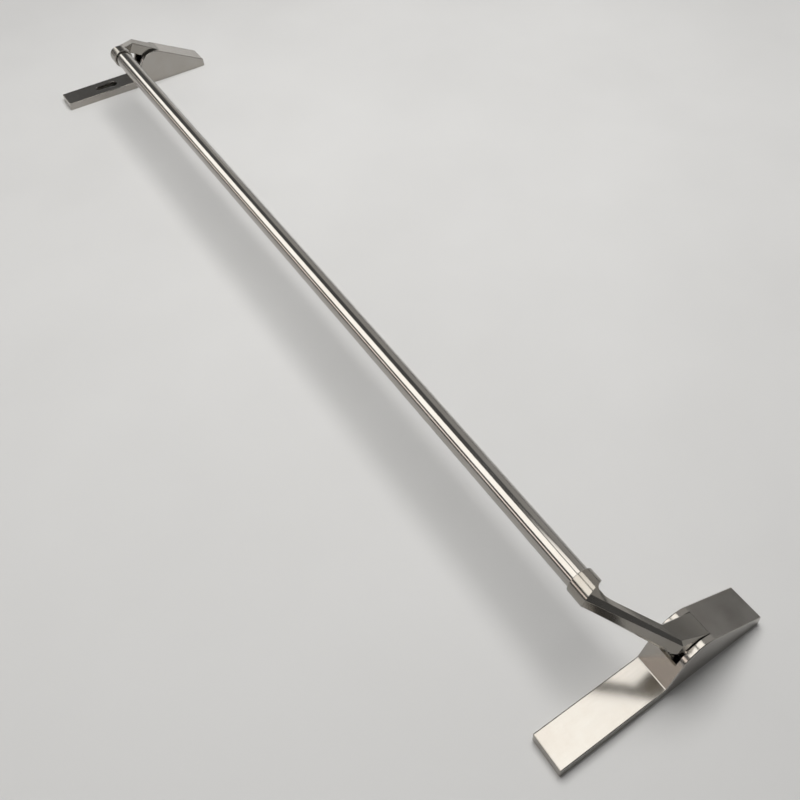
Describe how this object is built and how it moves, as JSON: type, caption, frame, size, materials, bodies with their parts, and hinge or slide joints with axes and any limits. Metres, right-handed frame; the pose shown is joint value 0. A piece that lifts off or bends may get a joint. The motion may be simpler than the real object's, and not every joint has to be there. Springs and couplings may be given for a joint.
{
  "type": "panic exit bar",
  "caption": "Cranked-arm push bar for an escape door: a satin steel tube on two pivoting arms, sprung in slim end covers, with a spindle follower behind the lock-side cover.",
  "frame": {"origin": "centre of the bounding box's underside: midway between the two end units, on the line where tray and raised wedge meet, on the door's face", "axes": "+X along the bar from the lock unit to the hinge unit, +Y up the door, +Z out of the door"},
  "size_m": [1.176, 0.222, 0.0974],
  "materials": {
    "lock_cover": "satin brushed stainless steel",
    "lock_cover_screw": "bright machined steel",
    "lock_base_plate": "zinc-plated steel",
    "lock_pivot_bracket": "zinc-plated steel",
    "lock_bracket_screw_1": "bright machined steel",
    "lock_bracket_screw_2": "bright machined steel",
    "lock_bracket_screw_3": "bright machined steel",
    "lock_bracket_screw_4": "bright machined steel",
    "lock_pivot_pin": "bright machined steel",
    "lock_retaining_ring": "dark spring steel",
    "lock_inboard_washer": "sintered bronze",
    "lock_outboard_washer": "sintered bronze",
    "lock_stop_buffer": "black moulded rubber",
    "lock_arm": "satin brushed stainless steel",
    "lock_arm_screw": "bright machined steel",
    "lock_tube_plug": "zinc-plated steel",
    "lock_return_plunger": "bright machined steel",
    "lock_return_spring": "dark spring steel",
    "hinge_cover": "satin brushed stainless steel",
    "hinge_cover_screw": "bright machined steel",
    "hinge_base_plate": "zinc-plated steel",
    "hinge_pivot_bracket": "zinc-plated steel",
    "hinge_bracket_screw_1": "bright machined steel",
    "hinge_bracket_screw_2": "bright machined steel",
    "hinge_bracket_screw_3": "bright machined steel",
    "hinge_bracket_screw_4": "bright machined steel",
    "hinge_pivot_pin": "bright machined steel",
    "hinge_retaining_ring": "dark spring steel",
    "hinge_inboard_washer": "sintered bronze",
    "hinge_outboard_washer": "sintered bronze",
    "hinge_stop_buffer": "black moulded rubber",
    "hinge_arm": "satin brushed stainless steel",
    "hinge_arm_screw": "bright machined steel",
    "hinge_tube_plug": "zinc-plated steel",
    "hinge_return_plunger": "bright machined steel",
    "hinge_return_spring": "dark spring steel",
    "lock_spindle_follower": "zinc-plated steel",
    "lock_follower_keeper": "zinc-plated steel",
    "push_tube": "satin brushed stainless steel"
  },
  "bodies": {
    "door_units": {"lock_cover": "lock_cover", "lock_cover_screw": "lock_cover_screw", "lock_base_plate": "lock_base_plate", "lock_pivot_bracket": "lock_pivot_bracket", "lock_bracket_screw_1": "lock_bracket_screw_1", "lock_bracket_screw_2": "lock_bracket_screw_2", "lock_bracket_screw_3": "lock_bracket_screw_3", "lock_bracket_screw_4": "lock_bracket_screw_4", "lock_pivot_pin": "lock_pivot_pin", "lock_retaining_ring": "lock_retaining_ring", "lock_inboard_washer": "lock_inboard_washer", "lock_outboard_washer": "lock_outboard_washer", "lock_stop_buffer": "lock_stop_buffer", "hinge_cover": "hinge_cover", "hinge_cover_screw": "hinge_cover_screw", "hinge_base_plate": "hinge_base_plate", "hinge_pivot_bracket": "hinge_pivot_bracket", "hinge_bracket_screw_1": "hinge_bracket_screw_1", "hinge_bracket_screw_2": "hinge_bracket_screw_2", "hinge_bracket_screw_3": "hinge_bracket_screw_3", "hinge_bracket_screw_4": "hinge_bracket_screw_4", "hinge_pivot_pin": "hinge_pivot_pin", "hinge_retaining_ring": "hinge_retaining_ring", "hinge_inboard_washer": "hinge_inboard_washer", "hinge_outboard_washer": "hinge_outboard_washer", "hinge_stop_buffer": "hinge_stop_buffer", "lock_follower_keeper": "lock_follower_keeper", "lock_return_spring": "lock_return_spring", "hinge_return_spring": "hinge_return_spring"},
    "push_bar": {"lock_arm": "lock_arm", "hinge_arm": "hinge_arm", "lock_arm_screw": "lock_arm_screw", "hinge_arm_screw": "hinge_arm_screw", "lock_tube_plug": "lock_tube_plug", "hinge_tube_plug": "hinge_tube_plug", "push_tube": "push_tube"},
    "spindle_follower": {"lock_spindle_follower": "lock_spindle_follower"},
    "lock_plunger": {"lock_return_plunger": "lock_return_plunger"},
    "hinge_plunger": {"hinge_return_plunger": "hinge_return_plunger"}
  },
  "joints": [
    {"name": "bar_press", "type": "hinge", "parent": "door_units", "child": "push_bar", "pos_m": [0, 0.03386, 0.02682], "axis": [1, 0, 0], "range_deg": [0, 30], "stiffness_Nm_per_rad": 4, "springref_deg": -28.65, "deforming": ["lock_return_spring", "hinge_return_spring"]},
    {"name": "spindle_turn", "type": "hinge", "parent": "door_units", "child": "spindle_follower", "pos_m": [-0.571, 0.03386, 0.01], "axis": [0, 0, 1], "range_deg": [0, 47.8]},
    {"name": "lock_plunger_slide", "type": "slide", "parent": "door_units", "child": "lock_plunger", "axis": [0, 0, -1], "range_m": [0, 0.0083]},
    {"name": "hinge_plunger_slide", "type": "slide", "parent": "door_units", "child": "hinge_plunger", "axis": [0, 0, -1], "range_m": [0, 0.0083]}
  ],
  "couplings": [
    {"joint": "spindle_turn", "follows": "bar_press", "ratio": 1.589},
    {"joint": "lock_plunger_slide", "follows": "bar_press", "m_per_rad": 0.015818},
    {"joint": "hinge_plunger_slide", "follows": "bar_press", "m_per_rad": 0.015818}
  ]
}
